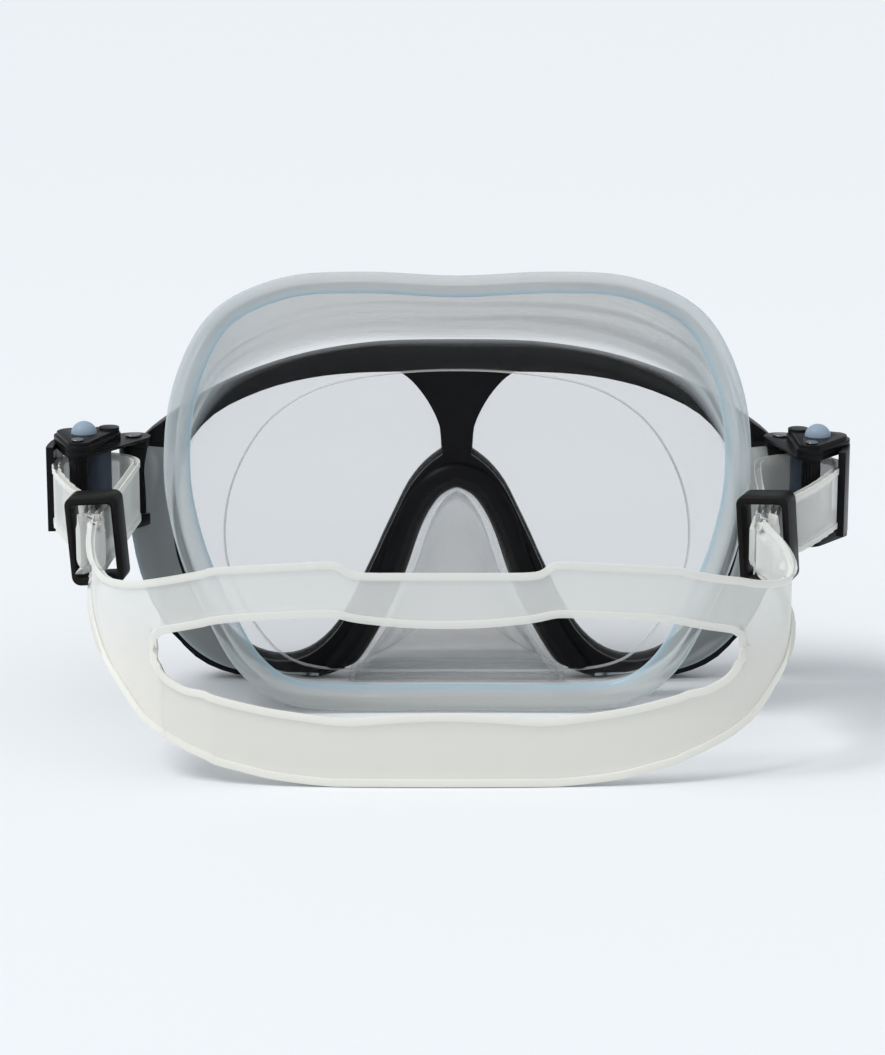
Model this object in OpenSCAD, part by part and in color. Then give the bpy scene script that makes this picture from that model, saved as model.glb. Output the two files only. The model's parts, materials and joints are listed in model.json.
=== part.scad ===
// Two-lens diving mask with a clear skirt, swivel buckles and a split head strap.
// Axes: +X to the wearer's right, +Y the way the wearer looks, +Z up, in millimetres.
// The origin is on the table under the middle of the lens plane.

/* [Frame and lenses] */
// Height of the brow above the table
brow_z = 82; // [78:0.5:86]
// Thickness of the tempered glass
lens_t = 3; // [2:0.5:3]
// How far the glass reaches past the frame's opening all round
lens_lap = 1; // [0.6:0.1:1.4]
// Thickness of the front bezel
bezel_t = 2.4; // [1.6:0.2:3]
// Width of the bezel's ring round each lens
bezel_w = 2.2; // [1.6:0.1:2.4]

/* [Skirt] */
// Wall thickness of the skirt
skirt_t = 2; // [1.6:0.1:2.4]
// Width of the flange that lies on the face
face_lip_w = 6.2; // [4:0.2:7]
// How far the nose pocket stands out in front of the lens plane
nose_y = 18.5; // [14:0.5:22]

/* [Buckles] */
// Distance of each swivel axis from the middle plane
hinge_x = 75.5; // [75:0.5:77]
// Swivel axis behind the lens plane
hinge_y = -10; // [-11:0.5:-9]
// Rest angle of the left buckle, outward from straight back
swing_left = 7; // [-2:0.5:14]
// Rest angle of the right buckle, outward from straight back
swing_right = -11.5; // [-12:0.5:14]
// Radius of each hinge pin
hinge_pin_r = 1.2; // [1:0.1:1.4]
// Radius of the domed release button
button_r = 3.05; // [2.6:0.05:3.2]
// Radial clearance of running fits
run_gap = 0.05; // [0.03:0.01:0.1]

/* [Strap] */
// Width of the strap band at the buckles
band_h = 14; // [13:0.5:14]
// Thickness of the strap
band_t = 1.9; // [1.5:0.1:2]
// Gap between the head strap and each buckle loop, which are one moulding
split_gap = 0.4; // [0.3:0.1:0.6]

/* [Hidden] */
$fn = 40;

// Layers of the lens plane, from the back to the front
flange_back_y = -5.2;
flange_front_y = -3.2;
frame_back_y = -3;
seat_y = -1.2;
lens_back_y = -1.1;
lens_front_y = lens_back_y + lens_t;
frame_front_y = 2.1;
bezel_back_y = 2.2;

// Heights of the buckle, from the bottom plate to the button
plate_low_z = 40.6;
plate_low_top_z = 43.2;
hinge_plate_z = 59.2;
hinge_top_z = 61.4;
deck_z = 60.8;
deck_top_z = 62.2;
cap_top_z = 64.2;
boss_top_z = 64.7;
well_floor_z = 61.5;
cap_roof_z = 63.5;
end_play = 0.15;

// Places in the buckle's own plan: outward from the swivel axis, then forward
roller_at = [6.2, -9.6];
roller_r = 2.9;
roller_pin_r = 1;
lock_at = [9, -18.4];
lock_r = 2.1;
lock_pin_r = 0.9;
button_at = [9.5, -9.7];
button_flange_r = button_r + 0.6;
button_flange_z = 63;
button_dome_z = 63.8;
boss_at = [4.6, -5.4];
boss_r = 2.4;
hinge_collar_r = 3.8;
roller_pin_top_z = well_floor_z - 0.25;
keeper_at = [1.2, -35];
keeper_size = [12, 7.6, 20.4];
keeper_window = [9, 16.6];
keeper_z = 46;
loop_z = 51.4;
loop_end = -41.8;
tail_end = -41.4;

// ---- Curves ----
function cr(a, b, c, d, t) = 0.5 * ((2 * b) + (c - a) * t + (2 * a - 5 * b + 4 * c - d) * t * t
    + (3 * b - a - 3 * c + d) * t * t * t);
function at(p, i) = p[max(0, min(len(p) - 1, i))];
// A smooth open curve through points, n steps between neighbours
function curve(p, n) = concat([for (i = [0 : len(p) - 2]) for (k = [0 : n - 1])
    cr(at(p, i - 1), p[i], p[i + 1], at(p, i + 2), k / n)], [p[len(p) - 1]]);
// A smooth closed curve through points
function ring(p, n) = let (m = len(p)) [for (i = [0 : m - 1]) for (k = [0 : n - 1])
    cr(p[(i + m - 1) % m], p[i], p[(i + 1) % m], p[(i + 2) % m], k / n)];
function flip_x(p) = [for (i = [len(p) - 1 : -1 : 0]) [for (k = [0 : len(p[i]) - 1])
    k == 0 ? -p[i][0] : p[i][k]]];
// Right half of an outline, from top middle to bottom middle, made whole
function whole(half) = concat(half, [for (i = [len(half) - 2 : -1 : 1])
    [for (k = [0 : len(half[i]) - 1]) k == 0 ? -half[i][0] : half[i][k]]]);
function unit(v) = v / norm(v);
// Normal on the left of the way a closed outline runs
function side_of(p, i) = let (m = len(p), t = unit([for (k = [0, 1])
    p[(i + 1) % m][k] - p[(i + m - 1) % m][k]])) [-t[1], t[0]];
function grow(p, d) = [for (i = [0 : len(p) - 1]) [p[i][0], p[i][1]] + side_of(p, i) * d];
function arc(c, r, a0, a1, n) = [for (k = [0 : n]) let (a = a0 + (a1 - a0) * k / n)
    [c[0] + r * cos(a), c[1] + r * sin(a)]];
function mix(a, b, t) = a * (1 - t) + b * t;

// ---- Solids from grids of points ----
function flat(p) = [for (row = p) for (q = row) q];
// Closed both ways: rows run round the object, columns round the section
module grid_ring(p) {
    m = len(p);
    n = len(p[0]);
    polyhedron(flat(p), [for (i = [0 : m - 1]) for (j = [0 : n - 1])
        let (a = i * n + j, b = i * n + (j + 1) % n, i2 = (i + 1) % m,
             c = i2 * n + (j + 1) % n, d = i2 * n + j)
        each [[c, b, a], [d, c, a]]]);
}
// A thick sheet: face a, face b, and open(i, j) says which cells are left out
module grid_sheet(a, b, open_cells) {
    m = len(a);
    n = len(a[0]);
    k = m * n;
    solid = [for (i = [0 : m - 2]) [for (j = [0 : n - 2]) open_cells[i][j] ? 0 : 1]];
    function has(i, j) = i >= 0 && j >= 0 && i < m - 1 && j < n - 1 ? solid[i][j] == 1 : false;
    used = [for (i = [0 : m - 1]) for (j = [0 : n - 1])
        has(i, j) || has(i - 1, j) || has(i, j - 1) || has(i - 1, j - 1) ? 1 : 0];
    faces = [for (i = [0 : m - 2]) for (j = [0 : n - 2]) if (has(i, j))
        let (p = i * n + j, q = p + 1, r = p + n + 1, s = p + n)
        each concat([[r, q, p], [s, r, p], [k + q, k + r, k + p], [k + r, k + s, k + p]],
            has(i, j - 1) ? [] : [[k + s, s, p], [k + p, k + s, p]],
            has(i, j + 1) ? [] : [[k + r, k + q, q], [r, k + r, q]],
            has(i - 1, j) ? [] : [[k + q, k + p, p], [q, k + q, p]],
            has(i + 1, j) ? [] : [[k + r, r, s], [k + s, k + r, s]])];
    polyhedron(concat(flat(a), flat(b)), faces);
}
// An outline in X and Z made a plate between two Y values
module plate_y(y0, y1) {
    translate([0, y1, 0]) rotate([90, 0, 0]) linear_extrude(y1 - y0) children();
}

// ---- Outlines of the lens plane, x then z ----
// Brow, from the middle to the lug, and down the side to the lowest point
brow_half = [[0, brow_z], [18, brow_z - 0.4], [35, brow_z - 3], [50, brow_z - 7.8],
    [62, brow_z - 13.8], [71.5, 62]];
side_half = [[71.5, 62], [76.2, 57.5], [77.6, 51], [77.2, 40], [75, 27], [70, 15.2],
    [62.5, 5.6], [53, 1.2], [42, 0.2], [33, 0.7], [27, 2.6]];
// Notch over the nose, from its foot to its top
notch_half = [[27, 2.6], [22.4, 7], [18.8, 13], [15.1, 20.2], [12, 28], [9.4, 36],
    [7, 41.6], [3.8, 46], [0, 47.8]];
function frame_outline() = let (
    top = curve(brow_half, 4),
    side = curve(side_half, 3),
    notch = curve(notch_half, 3),
    right = concat([for (i = [0 : len(top) - 2]) top[i]], [for (i = [0 : len(side) - 2]) side[i]],
        notch)) whole(right);
// The right lens opening: brow edge, outer side and floor, nose arch, web
opening_top = [[13.4, 75.2], [24, 74.9], [35, 73.6], [46, 70.6], [57, 65], [64, 56.5],
    [66.4, 46], [65.6, 34], [61.8, 22], [56, 12.4], [50, 6.6], [43.5, 4.3], [37.5, 4.9],
    [31.8, 8.4], [26.6, 15], [20.3, 27.8], [17.3, 34.6], [14.4, 40.8], [11.2, 47.2],
    [7.4, 52], [3.4, 55.2]];
opening_web = [[3.4, 55.2], [3.8, 60.8], [5.2, 65], [7.6, 69.3], [10.6, 73], [13.4, 75.2]];
function lens_opening() = let (a = curve(opening_top, 3), b = curve(opening_web, 3))
    concat([for (i = [0 : len(a) - 2]) a[i]], [for (i = [0 : len(b) - 2]) b[i]]);
// The outline runs clockwise, so its left is outside
lens_outline = grow(lens_opening(), lens_lap);
seat_outline = grow(lens_opening(), lens_lap + 0.15);
bezel_hole = grow(lens_opening(), -0.3);
bezel_outer = grow(lens_opening(), bezel_w);

// Plan of the frame: front edge, then back edge, x then y
plan_front = [[0, frame_front_y], [57, frame_front_y], [64, 1.7], [70, 0.2], [75, -2.8],
    [78.4, -6.4], [79.6, -10]];
plan_back = [[79.4, -12.6], [74.5, -12.6], [72, -8.4], [68.8, -5], [66, frame_back_y],
    [0, frame_back_y]];
lug_r = 3.4;
lug_z = [plate_low_top_z + end_play, hinge_plate_z - end_play];
// How far forward of the swivel axis the buckle plates' room reaches
plate_front_y = 4.5;

module both_sides() {
    children();
    mirror([1, 0, 0]) children();
}

module main_frame() color([0.07, 0.07, 0.075]) {
    plan = concat(plan_front, plan_back);
    difference() {
        union() {
            intersection() {
                plate_y(-14, 3) difference() {
                    polygon(frame_outline());
                    both_sides() polygon(lens_opening());
                }
                linear_extrude(brow_z + 2)
                    polygon(concat(plan, flip_x([for (i = [1 : len(plan) - 2]) plan[i]])));
            }
            both_sides() translate([hinge_x, hinge_y, lug_z[0]])
                cylinder(r = lug_r, h = lug_z[1] - lug_z[0]);
        }
        // Lens seats, cut from the front
        both_sides() plate_y(seat_y, 4) polygon(seat_outline);
        // Hinge bores, and room for the buckle plates above and below each lug
        both_sides() translate([hinge_x, hinge_y, 0]) {
            cylinder(r = hinge_pin_r + run_gap, h = 80);
            translate([-20, plate_front_y - 30, lug_z[1]]) cube([40, 30, 40]);
            translate([-20, plate_front_y - 30, -1]) cube([40, 30, lug_z[0] + 1]);
        }
    }
}

module front_bezel() color([0.1, 0.1, 0.11]) {
    y1 = bezel_back_y + bezel_t;
    difference() {
        union() {
            plate_y(bezel_back_y, y1) both_sides() polygon(bezel_outer);
            // Brow bar and bridge between the two rings
            plate_y(bezel_back_y, y1) polygon([[-16, 80.4], [16, 80.4], [16, 76.4], [3.2, 58],
                [6, 54.6], [2.4, 51.2], [-2.4, 51.2], [-6, 54.6], [-3.2, 58], [-16, 76.4]]);
        }
        both_sides() plate_y(bezel_back_y - 1, y1 + 1) polygon(bezel_hole);
    }
}

module lens() color([0.85, 0.92, 0.95, 0.3])
    plate_y(lens_back_y, lens_front_y) polygon(lens_outline);
module lens_right() lens();
module lens_left() mirror([1, 0, 0]) lens();

// ---- Skirt ----
// Matching points round the skirt, from top middle to bottom middle, x then z:
// its outer edge on the face, where that edge lies in Y, its root at the frame,
// and the inner edge of the flange behind the lenses
lip_half = [[0, 103.6], [21, 104.6], [40, 103.4], [56, 95.6], [64.6, 79], [66.8, 59],
    [63.9, 41], [58, 25], [50.6, 10.4], [40, 2], [24, 0], [0, 0]];
lip_y_half = [-28.6, -28.9, -30, -32, -34.6, -35.6, -35, -33.6, -32, -30.4, -29.4, -29];
root_half = [[0, 79.6], [21, 79], [38, 75.2], [53, 68.4], [62.4, 58], [66.6, 45],
    [65.6, 31], [60, 17], [51, 5.6], [39, 1.4], [24, 0.4], [0, 0.4]];
window_half = [[0, 75.6], [17, 74.6], [32, 71.4], [43, 64.6], [50, 55], [54, 43.6],
    [54.4, 31], [50.6, 19.8], [45, 10.4], [37.5, 4.8], [24, 2.9], [0, 2.9]];
skirt_steps = 4;
function skirt_section(i, l, r, w, y) = let (
    nl = -side_of(l, i), nr = -side_of(r, i),
    yl = y[i],
    yr = flange_back_y,
    q = function (s, inset) (let (c = mix(r[i], l[i], s), n = unit(mix(nr, nl, s)) * inset,
        yy = mix(yr, yl, s)) [c[0] + n[0], yy, c[1] + n[1]]),
    e = function (inset, dy) [l[i][0] + nl[0] * inset, yl + dy, l[i][1] + nl[1] * inset])
    [[w[i][0], flange_front_y, w[i][1]],
     [r[i][0], flange_front_y, r[i][1]],
     q(0.08, 0), q(0.3, 0), q(0.55, 0), q(0.8, 0), q(0.96, 0),
     e(0.7, -0.9), e(2.4, -0.9), e(4.4, 0), e(face_lip_w, 1.2),
     e(face_lip_w, 1.9), e(4.2, 1.5), e(2.9, 1.5),
     q(0.84, skirt_t), q(0.55, skirt_t), q(0.3, skirt_t),
     [r[i][0] + nr[0] * skirt_t, flange_back_y, r[i][1] + nr[1] * skirt_t],
     [w[i][0], flange_back_y, w[i][1]]];
function skirt_ring() = let (
    l = ring(whole(lip_half), skirt_steps),
    r = ring(whole(root_half), skirt_steps),
    w = ring(whole(window_half), skirt_steps),
    y = [for (p = ring(whole([for (v = lip_y_half) [0, v]]), skirt_steps)) p[1]])
    [for (i = [0 : len(l) - 1]) [for (q = skirt_section(i, l, r, w, y)) [q[0], q[1], max(0, q[2])]]];

// Nose pocket: sections from the back rim forward, each [y, width scale, height scale, lift]
pocket_half = [[26.4, 0], [21.9, 6.2], [18.2, 12.4], [14.5, 19.9], [11.4, 27.6], [8.8, 35.6],
    [6.5, 40.9], [3.5, 45.2], [0, 47]];
pocket_stations = [[-7, 1, 1, 0], [-2, 1, 1, 0], [3, 1, 1, 0], [7, 0.99, 0.95, 0],
    [11, 0.94, 0.86, 0], [14.5, 0.85, 0.74, 0.2], [16.8, 0.7, 0.58, 1.6],
    [18, 0.48, 0.4, 5], [18.5, 0.2, 0.17, 11]];
pocket_floor_n = 6;
function pocket_base() = let (c = curve(pocket_half, 3), n = len(c))
    concat(c, [for (i = [n - 2 : -1 : 0]) [-c[i][0], c[i][1]]],
        [for (k = [1 : pocket_floor_n - 1]) [mix(-c[0][0], c[0][0], k / pocket_floor_n), 0]]);
// One section: the outer face, or the inner face drawn in from it
function pocket_in(p) = [p[0] - sign(p[0]) * 2.3 * min(1, abs(p[0]) / 6),
    skirt_t * 0.9 + p[1] * 0.923];
function pocket_row(s, inside) = [for (p = pocket_base()) let (q = inside ? pocket_in(p) : p)
    [q[0] * s[1], s[0] - (inside && s[0] > 0 ? 1.5 : 0), q[1] * s[2] + s[3]]];
module nose_pocket() {
    s = pocket_stations;
    m = len(s);
    outer = [for (k = [0 : m - 1]) pocket_row(s[k], false)];
    inner = [for (k = [m - 2 : -1 : 0]) pocket_row(s[k], true)];
    rows = concat(outer, inner);
    n = len(rows[0]);
    total = len(rows);
    pts = concat(flat(rows), [[0, nose_y + 0.2, 15.6], [0, nose_y - 2, 15.6]]);
    tip = total * n;
    polyhedron(pts, concat(
        [for (i = [0 : total - 1]) if (i != m - 1) for (j = [0 : n - 1])
            let (i2 = (i + 1) % total, a = i * n + j, b = i * n + (j + 1) % n,
                c = i2 * n + (j + 1) % n, d = i2 * n + j) each [[a, b, c], [a, c, d]]],
        [for (j = [0 : n - 1]) [(m - 1) * n + j, (m - 1) * n + (j + 1) % n, tip]],
        [for (j = [0 : n - 1]) [m * n + (j + 1) % n, m * n + j, tip + 1]]));
}
// Flange that covers the back of the nose arch
module arch_flange() {
    c = curve(pocket_half, 3);
    n = len(c);
    line = concat([for (i = [0 : n - 1]) c[i]], [for (i = [n - 2 : -1 : 0]) [-c[i][0], c[i][1]]]);
    inner = [for (i = [0 : len(line) - 1]) let (t = unit(at(line, i + 1) - at(line, i - 1)))
        line[i] + [-t[1], t[0]] * 1.2];
    outer = [for (i = [len(line) - 1 : -1 : 0]) let (t = unit(at(line, i + 1) - at(line, i - 1)))
        line[i] - [-t[1], t[0]] * 8.4];
    intersection() {
        plate_y(flange_back_y + 0.15, flange_front_y - 0.15) polygon(concat(inner, outer));
        translate([-60, -20, 1]) cube([120, 40, brow_z]);
    }
}
grip_n = 4;
module grip(k) {
    y = 8 + k * 2.3;
    hull() {
        translate([20.4 - k * 1.8, y, 6]) sphere(r = 1, $fn = 12);
        translate([16.6 - k * 1.5, y, 14 - k * 0.6]) sphere(r = 1, $fn = 12);
    }
}
module skirt() color([0.8, 0.88, 0.92, 0.5]) union() {
    grid_ring(skirt_ring());
    nose_pocket();
    arch_flange();
    for (k = [0 : grip_n - 1]) {
        grip(k);
        mirror([1, 0, 0]) grip(k);
    }
}

// ---- Buckles ----
// side is 1 on the right and -1 on the left
function swing(side) = side > 0 ? swing_right : swing_left;
// A place in the buckle's plan, in the mask's plan
function out(side, p) = let (a = swing(side))
    [side * (hinge_x + p[0] * cos(a) - p[1] * sin(a)), hinge_y + p[0] * sin(a) + p[1] * cos(a)];
module on_side(side) {
    if (side > 0)
        translate([hinge_x, hinge_y, 0]) rotate([0, 0, swing_right]) children();
    else
        mirror([1, 0, 0]) translate([hinge_x, hinge_y, 0]) rotate([0, 0, swing_left]) children();
}
// The convex plan of the plates: arcs round the swivel, the lock pin and the outer corner
function plate_plan(d) = concat(
    arc([0, 0], 4 + d, 60, 205, 12),
    arc([8.6, -18], 3.6 + d, 215, 335, 10),
    arc([12.6, -8.6], 4.2 + d, 340, 420, 8));
// The cap leaves the swivel uncovered
function cap_plan(d) = concat(
    arc(boss_at, 2.7 + d, 80, 200, 8),
    arc([8.6, -18], 3.6 + d, 215, 335, 10),
    arc([12.6, -8.6], 4.2 + d, 340, 420, 8));
wall_c = [-16, -12.5];
wall_in = 31.4;
wall_t = 1.7;
wall_sweep = 9;
wall_low_z = 42.4;
module pin_hole(p, r) translate([p[0], p[1], 0]) cylinder(r = r, h = 90);

module buckle_body(side) color([0.06, 0.06, 0.065]) on_side(side) difference() {
    union() {
        translate([0, 0, plate_low_z]) linear_extrude(plate_low_top_z - plate_low_z)
            polygon(plate_plan(0));
        translate([0, 0, hinge_plate_z]) cylinder(r = hinge_collar_r, h = deck_z - hinge_plate_z + 0.3);
        translate([0, 0, deck_z]) linear_extrude(hinge_top_z - deck_z) polygon(plate_plan(0));
        translate([0, 0, deck_z]) linear_extrude(deck_top_z - deck_z) polygon(cap_plan(0));
        // Outer wall that ties the plates together, outside the band
        translate([0, 0, wall_low_z]) linear_extrude(deck_top_z - wall_low_z)
            polygon(concat(arc(wall_c, wall_in + wall_t, -wall_sweep, wall_sweep, 10),
                arc(wall_c, wall_in, wall_sweep, -wall_sweep, 10)));
    }
    translate([0, 0, well_floor_z]) pin_hole(button_at, button_flange_r + 0.2);
    pin_hole([0, 0], hinge_pin_r);
    translate([0, 0, plate_low_z + 0.8]) intersection() {
        pin_hole(roller_at, roller_pin_r);
        cylinder(r = 30, h = roller_pin_top_z - plate_low_z - 0.8);
    }
    translate([0, 0, plate_low_z + 0.8]) pin_hole(lock_at, lock_pin_r);
}

module buckle_cap(side) color([0.09, 0.09, 0.095]) on_side(side) difference() {
    union() {
        translate([0, 0, deck_top_z]) linear_extrude(cap_top_z - deck_top_z - 0.8)
            polygon(cap_plan(0));
        translate([0, 0, cap_top_z - 0.8]) linear_extrude(0.8) polygon(cap_plan(-0.7));
        translate([boss_at[0], boss_at[1], deck_top_z])
            cylinder(r = boss_r, h = boss_top_z - deck_top_z);
    }
    translate([0, 0, deck_top_z - 1]) translate([button_at[0], button_at[1], 0])
        cylinder(r = button_flange_r + 0.2, h = cap_roof_z - deck_top_z + 1);
    pin_hole(button_at, button_r + 0.1);
    pin_hole(lock_at, lock_pin_r);
}

module release_button(side) color([0.52, 0.62, 0.72]) on_side(side)
    translate([button_at[0], button_at[1], 0]) rotate_extrude()
        polygon(concat([[0, button_flange_z], [button_flange_r, button_flange_z],
            [button_flange_r, cap_roof_z - 0.1], [button_r, cap_roof_z - 0.1]],
            arc([0, button_dome_z], button_r, 0, 90, 10)));

spring_wire_r = 0.12;
spring_turns = 2;
spring_steps = 14;
module button_spring(side) color("silver") on_side(side)
    translate([button_at[0], button_at[1], 0]) {
        n = spring_turns * spring_steps;
        low = well_floor_z + spring_wire_r + 0.02;
        high = button_flange_z - spring_wire_r - 0.02;
        rows = [for (k = [0 : n]) let (t = k / n, a = 360 * spring_turns * t,
            r = 3.2 - 0.9 * t, z = mix(low, high, t))
            [for (j = [0 : 5]) let (b = 60 * j) [(r + spring_wire_r * cos(b)) * cos(a),
                (r + spring_wire_r * cos(b)) * sin(a), z + spring_wire_r * sin(b)]]];
        last = n * 6;
        polyhedron(flat(rows), concat(
            [for (i = [0 : n - 1]) for (j = [0 : 5]) let (a = i * 6 + j, b = i * 6 + (j + 1) % 6)
                each [[a, b, b + 6], [a, b + 6, a + 6]]],
            [[5, 4, 3, 2, 1, 0], [for (j = [0 : 5]) last + j]]));
    }

module pin(p, r, z0, z1, head_r, head_h) translate([p[0], p[1], 0]) {
    translate([0, 0, z0]) cylinder(r = r, h = z1 - z0);
    if (head_r > 0) translate([0, 0, z1]) cylinder(r = head_r, h = head_h);
}
module hinge_pin(side) color("silver") on_side(side)
    pin([0, 0], hinge_pin_r, plate_low_z, hinge_top_z, 1.9, 0.5);
module lock_pin(side) color("silver") on_side(side)
    pin(lock_at, lock_pin_r, plate_low_z + 0.8, cap_top_z, 1.4, 0.5);
module roller_pin(side) color("silver") on_side(side)
    pin(roller_at, roller_pin_r, plate_low_z + 0.8, roller_pin_top_z, 0, 0);

module strap_roller(side) color([0.3, 0.36, 0.44]) on_side(side)
    translate([roller_at[0], roller_at[1], plate_low_top_z + end_play]) difference() {
        h = deck_z - plate_low_top_z - 2 * end_play;
        cylinder(r = roller_r, h = h);
        translate([0, 0, -1]) cylinder(r = roller_pin_r + run_gap, h = h + 2);
    }

lock_teeth = 5;
module lock_bar(side) color([0.05, 0.05, 0.055]) on_side(side)
    translate([lock_at[0], lock_at[1], plate_low_top_z + end_play]) difference() {
        h = deck_z - plate_low_top_z - 2 * end_play;
        union() {
            cylinder(r = lock_r, h = h);
            // Blunt teeth that bite the ribbed band
            for (k = [0 : lock_teeth - 1]) rotate([0, 0, -150 + 16 * k])
                translate([lock_r - 0.5, -0.25, 1]) cube([0.8, 0.5, h - 2]);
        }
        translate([0, 0, -1]) cylinder(r = lock_pin_r + run_gap, h = h + 2);
    }

function round_box(w, h, r) = concat(arc([w / 2 - r, h / 2 - r], r, 0, 90, 5),
    arc([r - w / 2, h / 2 - r], r, 90, 180, 5), arc([r - w / 2, r - h / 2], r, 180, 270, 5),
    arc([w / 2 - r, r - h / 2], r, 270, 360, 5));
// The keepers sit a little askew: both lean the same way, and the right one turns with the band
keeper_lean = 4.5;
keeper_turn_right = -9;
module strap_keeper(side) color([0.05, 0.05, 0.055]) on_side(side)
    translate([keeper_at[0], keeper_at[1], keeper_z])
        rotate([0, -side * keeper_lean, side > 0 ? keeper_turn_right : 0])
            translate([0, keeper_size[1] / 2, 0]) rotate([90, 0, 0])
                linear_extrude(keeper_size[1]) difference() {
                    polygon(round_box(keeper_size[0], keeper_size[2], 2));
                    polygon(round_box(keeper_window[0], keeper_window[1], 1));
                }

// The band's way through the buckle: from the head strap along the inner side, round the
// roller, and back along the outer side to its free end; plan, then height of its middle
loop_way = [[0.1, loop_end, keeper_z], [0.1, -36, keeper_z], [0, -31.4, keeper_z + 0.5],
    [-1.5, -25, 48.6], [-2.9, -18, 51], [-2.6, -11.5, loop_z], [1.2, -7, loop_z],
    [6.6, -5.35, loop_z], [12, -7.6, loop_z], [14.1, -13, loop_z], [13.2, -20.2, 51.2],
    [9.4, -25.6, 49.2], [4.4, -29.6, 47], [2.5, -33.4, keeper_z + 0.2],
    [2.3, -37, keeper_z], [2.3, tail_end, keeper_z]];
// Half the band's thickness, square to the way it runs in plan
function half_t(c, i) = let (t = unit([at(c, i + 1)[0] - at(c, i - 1)[0],
    at(c, i + 1)[1] - at(c, i - 1)[1]])) [-t[1], t[0], 0] * band_t / 2;
module strap_loop(side) color([0.86, 0.86, 0.83, 0.8]) on_side(side) {
    c = curve(loop_way, 4);
    m = len(c);
    up = [0, 0, band_h / 2];
    a = [for (i = [0 : m - 1]) [c[i] + half_t(c, i) - up, c[i] + half_t(c, i) + up]];
    b = [for (i = [0 : m - 1]) [c[i] - half_t(c, i) - up, c[i] - half_t(c, i) + up]];
    grid_sheet(a, b, [for (i = [0 : m - 2]) [false]]);
}

// ---- Head strap ----
// Stations from the left keeper round the back to the right keeper, symmetric but for the
// swing of the buckles: [x, y, lower edge, slot floor, slot roof, upper edge]
strap_start = loop_end - split_gap;
function strap_ends(side) = let (s = out(side, [0.1, strap_start]), lead = out(side, [0.1, -44.4]))
    [[s[0], s[1], keeper_z - 7, 43, 47.8, keeper_z + 7],
     [lead[0], lead[1], 38, 42, 46.4, 51.4]];
strap_left = [[-81.2, -57.6, 36, 40.2, 44.2, 49.2], [-80.6, -62.8, 31.6, 36.4, 40.6, 46.4],
    [-77.8, -68.6, 24.6, 31.6, 36, 43.6],
    [-70.8, -75, 15.4, 27.2, 31.6, 44], [-66, -77.4, 11, 25.4, 32.4, 45.6],
    [-55, -80.2, 5.6, 20.6, 35.6, 48], [-41, -82, 1.6, 17.6, 37.4, 49.8],
    [-26.5, -83, 0, 15.8, 38.2, 50.6], [-22.5, -83.2, 0, 15.6, 37.4, 48.6]];
strap_right = [[17, -83, 0, 15.6, 37.4, 48.6], [21, -82.8, 0, 15.8, 38.2, 50.6],
    [36, -81.8, 1.6, 17.6, 37.4, 49.8], [50, -79.8, 5.6, 20.6, 35.6, 48],
    [60.6, -76.8, 11, 25.4, 32.4, 45.6], [66.8, -73.8, 15.4, 27.2, 31.6, 44],
    [73, -67.6, 24, 31.2, 35.6, 43.2], [73.6, -61, 32.4, 37, 41.2, 46.6],
    [70.4, -56.6, 36.2, 40.4, 44.4, 49.4]];
slot_first = 6;
strap_steps = 3;
// The four edges of the strap at one station, on its outer or inner face
function column(c, i, s) = [for (k = [2 : 5])
    [c[i][0], c[i][1], max(0, c[i][k])] + half_t(c, i) * s];
module head_strap() color([0.88, 0.88, 0.85, 0.8]) {
    left = strap_ends(-1);
    right = strap_ends(1);
    stations = concat(left, strap_left, [[-2.8, -83.4, 0, 16.8, 36, 48.4]], strap_right,
        [right[1], right[0]]);
    c = curve(stations, strap_steps);
    m = len(c);
    first = slot_first * strap_steps;
    grid_sheet([for (i = [0 : m - 1]) column(c, i, 1)], [for (i = [0 : m - 1]) column(c, i, -1)],
        [for (i = [0 : m - 2]) [false, i >= first && i < m - 1 - first, false]]);
}

module hinge_pin_left() hinge_pin(-1);
module buckle_body_left() buckle_body(-1);
module buckle_cap_left() buckle_cap(-1);
module release_button_left() release_button(-1);
module button_spring_left() button_spring(-1);
module lock_bar_left() lock_bar(-1);
module lock_pin_left() lock_pin(-1);
module strap_roller_left() strap_roller(-1);
module roller_pin_left() roller_pin(-1);
module strap_keeper_left() strap_keeper(-1);
module strap_loop_left() strap_loop(-1);
module hinge_pin_right() hinge_pin(1);
module buckle_body_right() buckle_body(1);
module buckle_cap_right() buckle_cap(1);
module release_button_right() release_button(1);
module button_spring_right() button_spring(1);
module lock_bar_right() lock_bar(1);
module lock_pin_right() lock_pin(1);
module strap_roller_right() strap_roller(1);
module roller_pin_right() roller_pin(1);
module strap_keeper_right() strap_keeper(1);
module strap_loop_right() strap_loop(1);

main_frame();
front_bezel();
lens_left();
lens_right();
skirt();
head_strap();
hinge_pin_left();
buckle_body_left();
buckle_cap_left();
release_button_left();
button_spring_left();
lock_bar_left();
lock_pin_left();
strap_roller_left();
roller_pin_left();
strap_keeper_left();
strap_loop_left();
hinge_pin_right();
buckle_body_right();
buckle_cap_right();
release_button_right();
button_spring_right();
lock_bar_right();
lock_pin_right();
strap_roller_right();
roller_pin_right();
strap_keeper_right();
strap_loop_right();
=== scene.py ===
# %% [markdown]
# # A two-lens diving mask, finished in Blender
#
# The mechanical model arrives packed: frame, lenses, buckles and pins are solids that already
# fit and move. This lesson gives them the finish of the real thing. The soft parts, which are
# the clear skirt and the milky strap, are modelled again here, because their look is in thin
# edges, folds and raised rims that the mechanical model leaves out.
#
# Lengths are in metres. +X is the wearer's right, +Y is the way the wearer looks, +Z is up.

import json
import math

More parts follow.
